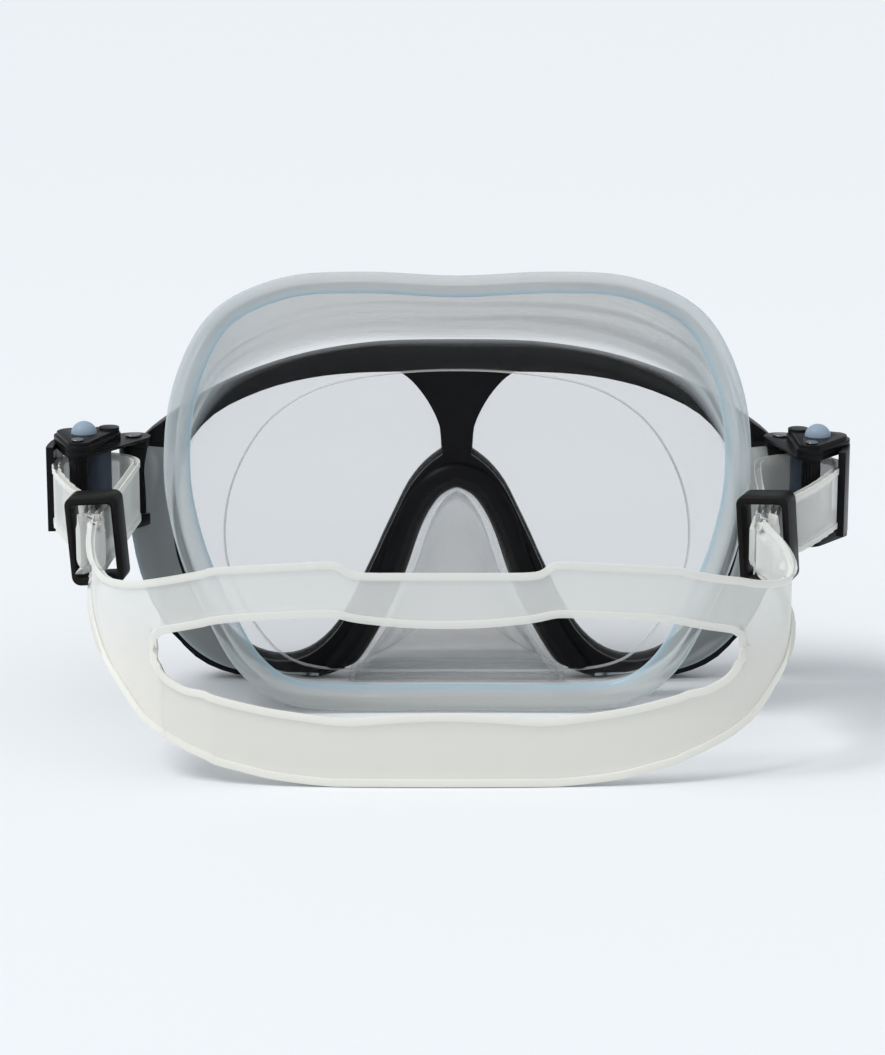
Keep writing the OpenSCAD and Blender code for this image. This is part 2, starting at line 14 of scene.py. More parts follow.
import bmesh
import bpy
import numpy as np
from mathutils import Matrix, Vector

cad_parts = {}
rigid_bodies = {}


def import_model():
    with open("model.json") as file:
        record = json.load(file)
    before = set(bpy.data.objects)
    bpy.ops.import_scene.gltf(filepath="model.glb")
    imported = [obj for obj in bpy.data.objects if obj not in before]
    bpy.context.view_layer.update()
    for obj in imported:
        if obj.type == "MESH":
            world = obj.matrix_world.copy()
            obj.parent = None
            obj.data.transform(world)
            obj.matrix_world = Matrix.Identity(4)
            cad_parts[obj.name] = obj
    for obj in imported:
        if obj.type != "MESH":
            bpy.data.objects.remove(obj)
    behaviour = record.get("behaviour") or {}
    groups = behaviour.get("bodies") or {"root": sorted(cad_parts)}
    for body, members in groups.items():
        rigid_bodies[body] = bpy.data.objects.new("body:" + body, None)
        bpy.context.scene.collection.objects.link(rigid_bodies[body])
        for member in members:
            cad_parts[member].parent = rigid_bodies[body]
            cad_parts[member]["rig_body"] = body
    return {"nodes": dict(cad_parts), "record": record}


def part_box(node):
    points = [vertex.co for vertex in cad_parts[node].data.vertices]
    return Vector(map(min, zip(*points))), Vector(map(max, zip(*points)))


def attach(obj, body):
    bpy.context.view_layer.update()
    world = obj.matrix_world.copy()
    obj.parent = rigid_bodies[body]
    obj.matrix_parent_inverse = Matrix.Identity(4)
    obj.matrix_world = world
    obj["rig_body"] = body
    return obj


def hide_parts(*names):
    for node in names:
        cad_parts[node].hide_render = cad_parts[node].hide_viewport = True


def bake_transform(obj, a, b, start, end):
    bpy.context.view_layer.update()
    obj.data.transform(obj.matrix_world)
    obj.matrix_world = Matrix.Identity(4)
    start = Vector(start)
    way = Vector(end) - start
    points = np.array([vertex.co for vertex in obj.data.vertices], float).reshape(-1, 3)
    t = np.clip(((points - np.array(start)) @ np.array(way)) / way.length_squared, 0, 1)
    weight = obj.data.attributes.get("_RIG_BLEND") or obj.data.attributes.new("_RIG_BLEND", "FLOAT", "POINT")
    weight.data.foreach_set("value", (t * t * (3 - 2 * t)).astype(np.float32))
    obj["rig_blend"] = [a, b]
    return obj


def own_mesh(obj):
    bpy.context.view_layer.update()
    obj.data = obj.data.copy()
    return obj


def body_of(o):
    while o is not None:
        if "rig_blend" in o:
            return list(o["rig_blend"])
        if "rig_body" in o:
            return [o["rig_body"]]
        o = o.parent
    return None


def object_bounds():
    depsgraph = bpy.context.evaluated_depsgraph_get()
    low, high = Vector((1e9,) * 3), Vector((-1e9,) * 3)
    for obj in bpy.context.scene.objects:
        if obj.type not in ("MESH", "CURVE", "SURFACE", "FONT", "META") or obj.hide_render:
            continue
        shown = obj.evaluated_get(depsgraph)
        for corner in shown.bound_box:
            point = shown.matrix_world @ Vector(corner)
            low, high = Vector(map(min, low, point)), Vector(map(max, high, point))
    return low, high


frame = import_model()
cad_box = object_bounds()
MM = 0.001
print("nodes:", len(frame["nodes"]), "box (m):", cad_box)

# %% [markdown]
# ## The camera
#
# The mask stands with its back to us, the strap nearest. A camera could be turned by its three
# angles, but it is easier to aim by what it looks at, how far away it stands, and how high
# above the table it looks down. A long lens from 0.8 m keeps the near strap and the far frame
# at nearly the same scale.

# %% Camera
LOOK_AT = Vector((-3.4, -18.0, 41.4)) * MM
CAMERA_DISTANCE = 0.8
CAMERA_ELEVATION = math.radians(14.5)
LONG_SIDE_SENSOR = 36.0
LENS = 117.4

camera_data = bpy.data.cameras.new("studio_camera")
camera_data.sensor_width = LONG_SIDE_SENSOR
camera_data.lens = LENS
camera_data.clip_end = 50.0
camera = bpy.data.objects.new("studio_camera", camera_data)
bpy.context.scene.collection.objects.link(camera)
away = Vector((0, -math.cos(CAMERA_ELEVATION), math.sin(CAMERA_ELEVATION)))
camera.location = LOOK_AT + away * CAMERA_DISTANCE
camera.rotation_euler = (-away).to_track_quat("-Z", "Y").to_euler()
bpy.context.scene.camera = camera
print("camera at", tuple(round(c, 3) for c in camera.location))

# %% [markdown]
# ## The studio
#
# A clear object shows its surroundings more than itself, so the room is kept plain: a wide pale
# table, an even pale sky, and one broad soft sun from the upper left, which draws the soft
# shadow on the right. Two faint panels, above and to the left, give the silicone something
# bright to reflect. A dark backdrop would make the rims stand out more, but it would also
# darken the clear skirt.

# %% Table and lights
def add_object(name, data):
    """Links a new object and returns it."""
    thing = bpy.data.objects.new(name, data)
    bpy.context.scene.collection.objects.link(thing)
    return thing


def studio_light(name, kind, energy, place, target, size=None, size_y=None, spread=None):
    """A light of that kind, aimed at the target."""
    data = bpy.data.lights.new(name, kind)
    data.energy = energy
    if kind == "SUN":
        data.angle = spread
    else:
        data.shape = "RECTANGLE"
        data.size = size
        data.size_y = size_y
    lamp = add_object(name, data)
    lamp.location = place
    aim = Vector(target) - Vector(place)
    lamp.rotation_euler = aim.to_track_quat("-Z", "Y").to_euler()
    return lamp


TABLE_HALF = 6.0
TABLE_DROP = 0.00005
SUN_SPREAD = math.radians(24)
SKY_COLOUR = (0.91, 0.94, 0.98, 1.0)
SKY_STRENGTH = 0.7
table_mesh = bmesh.new()
bmesh.ops.create_grid(table_mesh, x_segments=1, y_segments=1, size=TABLE_HALF)
table_data = bpy.data.meshes.new("table")
table_mesh.to_mesh(table_data)
table_mesh.free()
table = add_object("table", table_data)
table.location.z = min(0.0, cad_box[0][2]) - TABLE_DROP

studio_light("soft_sun", "SUN", 1.6, (-0.8, -0.3, 1.2), (0, 0, 0), spread=SUN_SPREAD)
studio_light("top_panel", "AREA", 0.25, (0.0, -0.25, 0.75), (0, -0.02, 0.05), 0.7, 0.35)
studio_light("left_panel", "AREA", 0.3, (-0.75, -0.3, 0.35), (0, 0, 0.05), 0.35, 0.6)

scene = bpy.context.scene
scene.view_settings.view_transform = "Standard"
world = bpy.data.worlds.new("studio_sky")
scene.world = world
world.use_nodes = True
sky = world.node_tree.nodes["Background"]
sky.inputs["Color"].default_value = SKY_COLOUR
sky.inputs["Strength"].default_value = SKY_STRENGTH

# %% [markdown]
# ## Writing materials as sums
#
# A node tree is quick to read when its arithmetic looks like arithmetic. `Wire` wraps one output
# socket, and adding or multiplying wires adds the Math nodes. Everything else comes from
# `Finish.node`, which takes the node's type, its settings and its inputs.

# %% Shader helpers
class Wire:
    """One output socket that understands + - * and powers."""

    def __init__(self, finish, socket):
        self.finish = finish
        self.socket = socket

    def __add__(self, other):
        return self.finish.math("ADD", self, other)

    def __radd__(self, other):
        return self.finish.math("ADD", other, self)

    def __sub__(self, other):
        return self.finish.math("SUBTRACT", self, other)

    def __rsub__(self, other):
        return self.finish.math("SUBTRACT", other, self)

    def __mul__(self, other):
        return self.finish.math("MULTIPLY", self, other)

    def __rmul__(self, other):
        return self.finish.math("MULTIPLY", other, self)

    def __pow__(self, other):
        return self.finish.math("POWER", self, other)


class Finish:
    """A material under construction, with one Principled shader."""

    def __init__(self, name):
        self.material = bpy.data.materials.new(name)
        self.material.use_nodes = True
        self.tree = self.material.node_tree
        self.tree.nodes.clear()
        self.output = self.tree.nodes.new("ShaderNodeOutputMaterial")
        self.skin = self.tree.nodes.new("ShaderNodeBsdfPrincipled")
        self.tree.links.new(self.skin.outputs["BSDF"], self.output.inputs["Surface"])

    def node(self, kind, settings=None, inputs=None, output=0):
        """Adds a node, sets it up, joins its inputs, and returns one output as a Wire."""
        made = self.tree.nodes.new(kind)
        for key, value in (settings or {}).items():
            if key == "stops":
                while len(made.color_ramp.elements) < len(value):
                    made.color_ramp.elements.new(0.5)
                for stop, (place, colour) in zip(made.color_ramp.elements, value):
                    stop.position = place
                    stop.color = colour
            else:
                setattr(made, key, value)
        for key, value in (inputs or {}).items():
            if isinstance(value, Wire):
                self.tree.links.new(value.socket, made.inputs[key])
            else:
                made.inputs[key].default_value = value
        return Wire(self, made.outputs[output])

    def set(self, **values):
        """Sets or joins sockets of the Principled shader; spaces are written as underscores."""
        for key, value in values.items():
            socket = self.skin.inputs[key.replace("_", " ")]
            if isinstance(value, Wire):
                self.tree.links.new(value.socket, socket)
            else:
                socket.default_value = value
        return self

    def place(self):
        """Object coordinates, so that a pattern stays on its piece."""
        return self.node("ShaderNodeTexCoord", output="Object")

    def noise(self, scale, detail=2.0):
        """Even noise in object coordinates."""
        return self.node("ShaderNodeTexNoise", {}, {"Vector": self.place(), "Scale": scale,
                                                    "Detail": detail, "Roughness": 0.5})

    def stretched_noise(self, scale, detail=2.0):
        """Noise with its own scale along each axis, for streaks and flow lines."""
        drawn = self.node("ShaderNodeMapping", {}, {"Vector": self.place(), "Scale": scale})
        return self.node("ShaderNodeTexNoise", {}, {"Vector": drawn, "Scale": 1.0,
                                                    "Detail": detail})

    def step(self, value, low, high, kind="SMOOTHSTEP"):
        """0 where the value is at low and 1 where it is at high."""
        return self.node("ShaderNodeMapRange", {"interpolation_type": kind},
                         {"Value": value, "From Min": low, "From Max": high})

    def mark(self, name):
        """A number that the mesh carries on its vertices."""
        return self.node("ShaderNodeAttribute", {"attribute_name": name}, output="Fac")

    def math(self, operation, first, second=0.0):
        """One Math node."""
        return self.node("ShaderNodeMath", {"operation": operation}, {0: first, 1: second})

    def bump(self, height, strength, distance):
        """A bumped normal; the distance is in metres."""
        return self.node("ShaderNodeBump", {}, {"Height": height, "Strength": strength,
                                                "Distance": distance})

    def colours(self, factor, low, high):
        """A colour that runs from low to high as the factor goes from 0 to 1."""
        return self.node("ShaderNodeMix", {"data_type": "RGBA"},
                         {0: factor, 6: low, 7: high}, output=2)


print("shader helpers ready")

# %% [markdown]
# ## The table
#
# The backdrop is matt paper. One flat colour would do, but a faint fleck stops the soft shadow
# from looking computed.

# %% Table finish
table_finish = Finish("table_paper")
paper = table_finish.noise(900.0, 3.0)
table_finish.set(
    Base_Color=table_finish.colours(paper, (0.8, 0.82, 0.838, 1), (0.815, 0.833, 0.852, 1)),
    Roughness=0.9, Specular_IOR_Level=0.1)
table.data.materials.append(table_finish.material)
print("table finish:", table_finish.material.name)

# %% [markdown]
# ## Moulded plastics
#
# The frame, bezel, buckles and keepers are injection-moulded. An image texture could hold
# their mould grain, but it would need unwrapping. Noise in object coordinates needs nothing,
# and one function makes all five by changing two colours and the gloss. Real black plastic is
# never black all over, so two near-blacks are mottled together.

# %% Finish: moulded plastics
GRAIN_DEPTH = 0.00001


def moulded_plastic(name, dark, light, gloss, grain=0.1):
    """Injection-moulded plastic: a faint mould grain and slightly uneven gloss."""
    finish = Finish(name)
    mottle = finish.noise(260.0, 3.0)
    spark = finish.noise(5200.0, 2.0)
    finish.set(Base_Color=finish.colours(mottle, dark, light),
               Roughness=gloss + 0.12 * mottle,
               Normal=finish.bump(spark, grain, GRAIN_DEPTH))
    finish.set(Specular_IOR_Level=0.1)
    return finish.material


black_plastic = moulded_plastic("black_plastic", (0.004, 0.004, 0.0045, 1),
                                (0.008, 0.008, 0.009, 1), 0.3)
bezel_plastic = moulded_plastic("bezel_plastic", (0.012, 0.012, 0.013, 1),
                                (0.022, 0.022, 0.024, 1), 0.2)
keeper_plastic = moulded_plastic("keeper_plastic", (0.006, 0.006, 0.0055, 1),
                                 (0.012, 0.012, 0.011, 1), 0.38, 0.45)
roller_plastic = moulded_plastic("roller_plastic", (0.05, 0.065, 0.09, 1),
                                 (0.08, 0.1, 0.13, 1), 0.3)
button_plastic = moulded_plastic("button_plastic", (0.25, 0.33, 0.41, 1),
                                 (0.31, 0.39, 0.47, 1), 0.24, 0.15)
plastics = (black_plastic, bezel_plastic, keeper_plastic, roller_plastic, button_plastic)
print("plastics:", [material.name for material in plastics])

# %% [markdown]
# ## Pins and glass
#
# The pins are turned steel: metallic, with an uneven polish. The lenses are tempered glass.
# True refraction would be exact, but a thin flat plate hardly bends light, so a glossy skin
# with a low alpha looks the same and renders faster. It gets denser where it's seen edge on.

# %% Finish: pins
pin_finish = Finish("steel")
turned = pin_finish.noise(1800.0, 2.0)
pin_finish.set(
    Base_Color=pin_finish.colours(turned, (0.14, 0.14, 0.145, 1), (0.24, 0.24, 0.25, 1)),
    Roughness=0.22 + 0.2 * turned)
pin_finish.set(Metallic=1.0)
steel = pin_finish.material
print("pin finish nodes:", len(steel.node_tree.nodes))

# %% Finish: lens glass
lens_finish = Finish("lens_glass")
edge_on = lens_finish.node("ShaderNodeLayerWeight", {}, {"Blend": 0.35}, output="Facing")
smear = lens_finish.noise(38.0, 3.0)
lens_finish.set(
    Base_Color=lens_finish.colours(edge_on, (0.22, 0.225, 0.225, 1), (0.2, 0.3, 0.3, 1)),
    Roughness=0.03 + 0.03 * smear,
    Alpha=0.15 + 0.5 * edge_on ** 3.0)
lens_finish.set(IOR=1.5, Specular_IOR_Level=0.6)
glass = lens_finish.material
print("glass finish nodes:", len(glass.node_tree.nodes))

# %% [markdown]
# ## Silicone
#
# The skirt is clear silicone and the strap is milky. Subsurface scattering could show both, but
# it hides what lies behind, and here the black frame has to show through. So both are thin
# skins with an alpha. The skirt's skin reads a mark on the mesh that says how much silicone
# there is, gets denser where it turns away from view, and has painted reflections: pale streaks
# that run round the wall stand in for the lights reflected in its folds.

# %% Finish: clear silicone
def clear_silicone():
    """Water-clear silicone. The mesh attribute "body" says how much silicone is there:
    0 on the flange behind the lenses, 0.35 on the walls, 0.6 on the face lip, 1 on its edge."""
    finish = Finish("skirt_silicone")
    body = finish.mark("body")
    facing = finish.node("ShaderNodeLayerWeight", {}, {"Blend": 0.5}, output="Facing")
    tint = finish.node("ShaderNodeValToRGB", {"stops": [
        (0.0, (0.66, 0.67, 0.67, 1)), (0.35, (0.6, 0.575, 0.545, 1)),
        (0.62, (0.65, 0.66, 0.64, 1)), (0.84, (0.4, 0.56, 0.66, 1))]}, {"Fac": body})
    weight = finish.node("ShaderNodeValToRGB", {"stops": [
        (0.0, (0.01, 0.01, 0.01, 1)), (0.22, (0.012, 0.012, 0.012, 1)),
        (0.35, (0.5, 0.5, 0.5, 1)), (0.62, (0.5, 0.5, 0.5, 1)),
        (0.9, (0.75, 0.75, 0.75, 1))]}, {"Fac": body})
    place = finish.node("ShaderNodeSeparateXYZ", {}, {"Vector": finish.place()})
    across = finish.math("ABSOLUTE", place)
    corner = finish.step(across, 0.028, 0.062)
    cloud = finish.noise(46.0, 2.0)
    flow = finish.stretched_noise((9.0, 240.0, 12.0), 2.0)
    cool = finish.colours(corner * 0.4, tint, (0.45, 0.58, 0.62, 1))
    # Painted reflection: pale near-white streaks along the flow noise, on the walls only, stand in for the
    # lights reflected in the folds; they also make the skin denser there.
    painted_reflection_streaks = finish.step(flow, 0.5, 0.64) * finish.step(body, 0.58, 0.42, "LINEAR")
    with_painted_streaks = finish.colours(painted_reflection_streaks * 0.5, cool, (0.93, 0.93, 0.92, 1))
    edged = finish.colours(facing ** 2.0, with_painted_streaks, (0.6, 0.7, 0.75, 1))
    finish.set(Base_Color=edged,
               Roughness=0.10 + 0.12 * cloud,
               Alpha=weight * (0.8 + 0.7 * painted_reflection_streaks + 0.8 * facing ** 2.0),
               Normal=finish.bump(flow, 0.3, 0.0008))
    finish.set(IOR=1.41, Specular_IOR_Level=0.5)
    return finish.material


skirt_silicone = clear_silicone()
print("clear silicone nodes:", len(skirt_silicone.node_tree.nodes))

# %% Finish: milky silicone
def milky_silicone():
    """Strap silicone: cloudier, with a soft matt skin. It's creamier in the thick low band."""
    finish = Finish("strap_silicone")
    facing = finish.node("ShaderNodeLayerWeight", {}, {"Blend": 0.4}, output="Facing")
    cloud = finish.noise(70.0, 3.0)
    skin = finish.noise(1500.0, 2.0)
    height = finish.node("ShaderNodeSeparateXYZ", {}, {"Vector": finish.place()}, output="Z")
    upper = finish.step(height, 0.022, 0.04)
    base = finish.colours(upper, (0.855, 0.84, 0.775, 1), (0.83, 0.84, 0.815, 1))
    clouded = finish.colours(0.12 * cloud, base, (0.9, 0.9, 0.87, 1))
    rim = finish.mark("rim")
    clouded = finish.colours(rim * 0.6, clouded, (0.92, 0.91, 0.84, 1))
    finish.set(Base_Color=clouded,
               Roughness=0.36 + 0.12 * cloud,
               Alpha=0.77 - 0.24 * upper + 0.1 * rim + 0.05 * cloud + 0.35 * facing ** 2.0,
               Normal=finish.bump(skin, 0.15, 0.0001))
    finish.set(IOR=1.41)
    return finish.material


strap_silicone = milky_silicone()
print("milky silicone nodes:", len(strap_silicone.node_tree.nodes))

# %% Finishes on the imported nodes
FINISHES = {"black_plastic": black_plastic, "bezel_plastic": bezel_plastic,
            "keeper_plastic": keeper_plastic, "roller_plastic": roller_plastic,
            "button_plastic": button_plastic, "steel": steel, "lens_glass": glass,
            "skirt_silicone": skirt_silicone, "strap_silicone": strap_silicone}

for row in frame["record"]["subparts"]:
    node = frame["nodes"][row["node"]]
    node.data.materials.clear()
    node.data.materials.append(FINISHES[row["material_slot"]])

# %% [markdown]
# ## Curves through points
#
# The skirt and the strap are soft mouldings with no straight line in them, so their outlines
# are given as a few points with a smooth curve through them. A Catmull-Rom curve passes through
# every point, which makes it easy to steer. The points are in millimetres, as on a drawing.

# %% Curve helpers
def between(a, b, c, d, t):
    """A Catmull-Rom step from b to c."""
    return 0.5 * (2 * b + (c - a) * t + (2 * a - 5 * b + 4 * c - d) * t * t
                  + (3 * b - a - 3 * c + d) * t ** 3)


def smooth_ring(points, steps):
    """A smooth closed curve through points."""
    p = np.array(points, float)
    n = len(p)
    return np.array([between(p[i - 1], p[i], p[(i + 1) % n], p[(i + 2) % n], k / steps)
                     for i in range(n) for k in range(steps)])


def smooth_line(points, steps):
    """A smooth open curve through points."""
    p = np.array(points, float)
    n = len(p)
    line = [between(p[max(i - 1, 0)], p[i], p[i + 1], p[min(i + 2, n - 1)], k / steps)
            for i in range(n - 1) for k in range(steps)]
    return np.array(line + [p[-1]])


def both_halves(half):
    """A right half, from top middle to bottom middle, with its mirror image added."""
    return list(half) + [[-p[0]] + list(p[1:]) for p in half[-2:0:-1]]


def inward(outline):
    """Unit normals that point into a closed outline of x and z that runs clockwise."""
    along = np.roll(outline, -1, axis=0) - np.roll(outline, 1, axis=0)
    along /= np.linalg.norm(along, axis=1)[:, None]
    return np.stack([along[:, 1], -along[:, 0]], axis=1)


print("a ring through 3 points in 4 steps each has",
      len(smooth_ring([[0, 0], [1, 0], [0, 1]], 4)), "points")

# %% [markdown]
# ## Helpers for the soft pieces
#
# Every soft piece below starts as chains of points that are bridged to each other, so those
# steps are written once. The faces could be listed by hand, but the bridge operator makes them
# without a slip. Rounding, wall and bevel are modifiers, which keeps the mesh underneath light.

# %% Mesh helpers
def piece_from(bm, name, finish_name, body):
    """Turns a bmesh in metres into a smooth-shaded piece with a finish, riding on a body."""
    data = bpy.data.meshes.new(name)
    bm.to_mesh(data)
    bm.free()
    data.shade_smooth()
    piece = add_object(name, data)
    data.materials.append(FINISHES[finish_name])
    if body:
        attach(piece, body)
    return piece


def marked_bmesh():
    """An empty bmesh whose vertices carry the mark "body" that the skirt's finish reads."""
    bm = bmesh.new()
    bm.verts.layers.float.new("body")
    return bm


def add_chain(bm, points, mark=None, closed=False):
    """A chain of edges through points given in millimetres."""
    verts = [bm.verts.new(Vector(p) * MM) for p in points]
    if mark is not None:
        layer = bm.verts.layers.float["body"]
        for vert in verts:
            vert[layer] = mark
    following = verts[1:] + verts[:1] if closed else verts[1:]
    return [bm.edges.new(pair) for pair in zip(verts, following)]


def bridge(bm, chains, back_to_first=False):
    """Bridges each chain of edges to the next, and the last to the first if asked."""
    pairs = list(zip(chains, chains[1:]))
    if back_to_first:
        pairs.append((chains[-1], chains[0]))
    for first, second in pairs:
        bmesh.ops.bridge_loops(bm, edges=first + second)


def loft(loops_of_points, marks, closed_section):
    """Closed loops with a mark each, bridged one after another."""
    bm = marked_bmesh()
    loops = [add_chain(bm, points, mark, closed=True)
             for points, mark in zip(loops_of_points, marks)]
    bridge(bm, loops, closed_section)
    bmesh.ops.recalc_face_normals(bm, faces=bm.faces)
    return bm


def round_off(piece):
    """One level of subdivision, the same in the view and the render."""
    rounding = piece.modifiers.new("rounding", "SUBSURF")
    rounding.levels = rounding.render_levels = 1


def add_bevel(thing, width, angle):
    """A bevel on every edge sharper than an angle in degrees."""
    easing = thing.modifiers.new("easing", "BEVEL")
    easing.width = width * MM
    easing.segments = 2
    easing.limit_method = "ANGLE"
    easing.angle_limit = math.radians(angle)
    return easing


def add_thickness(thing, thickness):
    """A wall grown inwards from the face that shows."""
    solid = thing.modifiers.new("thickness", "SOLIDIFY")
    solid.thickness = thickness * MM
    solid.offset = -1.0


print("mesh helpers ready")

# %% [markdown]
# ## The skirt
#
# The skirt is one moulding of clear silicone. Cut anywhere round the face, it has the same
# section: a thin flange behind the lens, a wall that runs back, and a lip that turns in and
# lies on the skin. It could be sculpted or made with cloth, but a moulded section is exactly
# what a loft describes: each place on the section becomes one closed loop round the face, and
# neighbouring loops are bridged. Each loop also carries a mark, "body", that the finish reads
# to make the flange clear, the wall greyer and the lip's edge blue.

# %% Skirt outlines
LIP_HALF = [[0, 103.6], [21, 104.6], [40, 103.4], [56, 95.6], [64.6, 79], [66.8, 59],
            [63.9, 41], [58, 25], [50.6, 10.4], [40, 2], [24, 0], [0, 0]]
LIP_DEPTH_HALF = [-28.6, -28.9, -30, -32, -34.6, -35.6, -35, -33.6, -32, -30.4, -29.4, -29]
ROOT_HALF = [[0, 79.6], [21, 79], [38, 75.2], [53, 68.4], [62.4, 58], [66.6, 45],
             [65.6, 31], [60, 17], [51, 5.6], [39, 1.4], [24, 0.4], [0, 0.4]]
WINDOW_HALF = [[0, 75.6], [17, 74.6], [32, 71.4], [43, 64.6], [50, 55], [54, 43.6],
               [54.4, 31], [50.6, 19.8], [45, 10.4], [37.5, 4.8], [24, 2.9], [0, 2.9]]
FLANGE_BACK = -5.2
FLANGE_FRONT = -3.25
WALL = 2.0
LIP_WIDTH = 6.2
ROUND_STEPS = 5

lip = smooth_ring(both_halves(LIP_HALF), ROUND_STEPS)
root = smooth_ring(both_halves(ROOT_HALF), ROUND_STEPS)
window = smooth_ring(both_halves(WINDOW_HALF), ROUND_STEPS)
lip_depth = smooth_ring(both_halves([[0, v] for v in LIP_DEPTH_HALF]), ROUND_STEPS)[:, 1]
lip_in, root_in, window_in = inward(lip), inward(root), inward(window)
print("skirt loops have", len(lip), "points")

# %% Places on the skirt's section
def in_plane(outline, depth):
    """Points of an outline of x and z at a depth, which may differ from point to point."""
    depth = np.broadcast_to(depth, (len(outline),))
    return np.stack([outline[:, 0], depth, np.maximum(outline[:, 1], 0.0)], axis=1)


def on_wall(share, inset):
    """A loop on the wall: share 0 is at the root and 1 at the lip; inset goes inwards."""
    normal = root_in * (1 - share) + lip_in * share
    normal /= np.linalg.norm(normal, axis=1)[:, None]
    outline = root * (1 - share) + lip * share + normal * inset
    return in_plane(outline, FLANGE_BACK * (1 - share) + lip_depth * share)


def on_lip(inset, back):
    """A loop on the face lip, inset from its outer edge and moved in depth."""
    return in_plane(lip + lip_in * inset, lip_depth + back)


print("depth of the skirt (mm):", round(FLANGE_FRONT - lip_depth.min(), 1))

# %% Skirt wall and lip
# Each loop and its mark, from the window edge out, back, round the lip and in again
SECTION = [
    (in_plane(window, FLANGE_FRONT), 0.4), (in_plane(window - window_in, FLANGE_FRONT), 0.0),
    (in_plane(root, FLANGE_FRONT), 0.1),
    (on_wall(0.08, 0), 0.12), (on_wall(0.2, 0.5), 0.2), (on_wall(0.36, 0.1), 0.35),
    (on_wall(0.55, 0), 0.35), (on_wall(0.8, 0), 0.45), (on_wall(0.95, 0), 0.6),
    (on_lip(0.5, -0.75), 0.62), (on_lip(1.6, -1.0), 0.62), (on_lip(3.2, -0.7), 0.6),
    (on_lip(4.9, 0.2), 0.66), (on_lip(5.8, 0.75), 0.85), (on_lip(LIP_WIDTH, 1.3), 0.95),
    (on_lip(LIP_WIDTH + 0.05, 2.2), 1.0), (on_lip(5.7, 2.5), 0.8), (on_lip(4.2, 1.9), 0.6),
    (on_lip(2.9, 1.7), 0.5), (on_wall(0.84, WALL), 0.35), (on_wall(0.55, WALL), 0.35),
    (on_wall(0.36, WALL + 0.1), 0.35), (on_wall(0.2, WALL + 0.4), 0.2),
    (in_plane(root + root_in * WALL, FLANGE_BACK), 0.1),
    (in_plane(window - window_in, FLANGE_BACK), 0.0), (in_plane(window, FLANGE_BACK), 0.45)]
section_loops, section_marks = zip(*SECTION)
skirt_bm = loft(section_loops, section_marks, closed_section=True)
print("skirt section has", len(SECTION), "loops, faces:", len(skirt_bm.faces))
skirt_shell = piece_from(skirt_bm, "skirt_shell", "skirt_silicone", "mask")
round_off(skirt_shell)
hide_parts("skirt")

# %% [markdown]
# ## The skirt's sides over the frame
#
# Low on each side the skirt flares out over the back of the frame, so the black plastic looks
# slate grey there. A copy of the frame's surface pushed backwards would do, but a strip drawn
# between the frame's edge and the wall is lighter and needs no cleaning up.

# %% Skirt sides over the frame
# Outer x and z, inner x and z, and how far back the outer and inner edges are
SIDE_COVER = [[73.2, 59.4, 62.6, 57.5, -10.8, -6.6], [75.9, 55, 65, 52, -13.2, -7.4],
              [76.6, 48.2, 66.6, 45, -13.2, -8], [75.9, 37.8, 66.8, 37, -13.2, -8],
              [73.8, 27, 65.4, 29, -12.4, -7.4], [69.1, 16.2, 61.8, 20, -6.6, -6.4],
              [61.9, 7.2, 56, 11.4, -4.2, -6], [52.8, 2.6, 49, 5.4, -3.9, -5.8],
              [42, 2, 41, 2.6, -3.8, -5.6], [33, 1.8, 33, 1.6, -3.8, -5.6]]
# Share of the way in, how far it bulges back, and the mark
COVER_ROWS = [(0.0, 0.0, 0.9), (0.08, -0.5, 0.6), (0.4, -0.8, 0.42), (0.75, -0.8, 0.4),
              (1.0, 0.0, 0.42)]


def cover_row(side, share, back):
    """Points down one side, a share of the way from the frame's edge to the wall."""
    return [(side * (ox + (ix - ox) * share), oy + (iy - oy) * share + back,
             oz + (iz - oz) * share) for ox, oz, ix, iz, oy, iy in smooth_line(SIDE_COVER, 3)]


sides_bm = marked_bmesh()
for side in (-1, 1):
    bridge(sides_bm, [add_chain(sides_bm, cover_row(side, share, back), mark)
                      for share, back, mark in COVER_ROWS])
bmesh.ops.recalc_face_normals(sides_bm, faces=sides_bm.faces)
for face in [f for f in sides_bm.faces if f.normal.y > 0]:
    face.normal_flip()
skirt_sides = piece_from(sides_bm, "skirt_sides", "skirt_silicone", "mask")
round_off(skirt_sides)
print("faces on the skirt's sides:", len(skirt_sides.data.polygons))

# %% [markdown]
# ## The nose pocket
#
# The pocket is a blunt hood over the nose, moulded in one with the skirt. Its sections all
# have the arch's outline, and they shrink towards the front, so it's lofted from back to front
# and its last loop closed. Sculpting would suit a softer nose, but this one is nearly straight.

# %% Nose pocket
POCKET_HALF = [[26.4, 0], [21.9, 6.2], [18.2, 12.4], [14.5, 19.9], [11.4, 27.6], [8.8, 35.6],
               [6.5, 40.9], [3.5, 45.2], [0, 47]]
POCKET_STATIONS = [[-7.2, 1.02, 1, 0], [-5, 1, 1, 0], [-1, 1, 1, 0], [3, 1, 1, 0],
                   [7, 0.99, 0.95, 0], [11, 0.94, 0.86, 0.1], [14.5, 0.85, 0.74, 0.4],
                   [16.8, 0.7, 0.58, 1.8], [18, 0.48, 0.4, 5.1], [18.45, 0.2, 0.17, 11]]
POCKET_WALL = 1.7
POCKET_TIP = 18.4
TABLE_GAP = 0.05
side_line = smooth_line(POCKET_HALF, 3)
half_width = POCKET_HALF[0][0]
floor_line = [[x, 0.0] for x in np.linspace(-half_width, half_width, 10)[1:-1]]
arch_line = list(side_line) + [[-x, z] for x, z in side_line[-2::-1]]
arch = np.array(arch_line + floor_line)


def pocket_loop(depth, width, height, lift):
    """One section of the pocket, sat on the table plane."""
    return [(x * width, depth, max(z * height + lift, TABLE_GAP)) for x, z in arch]


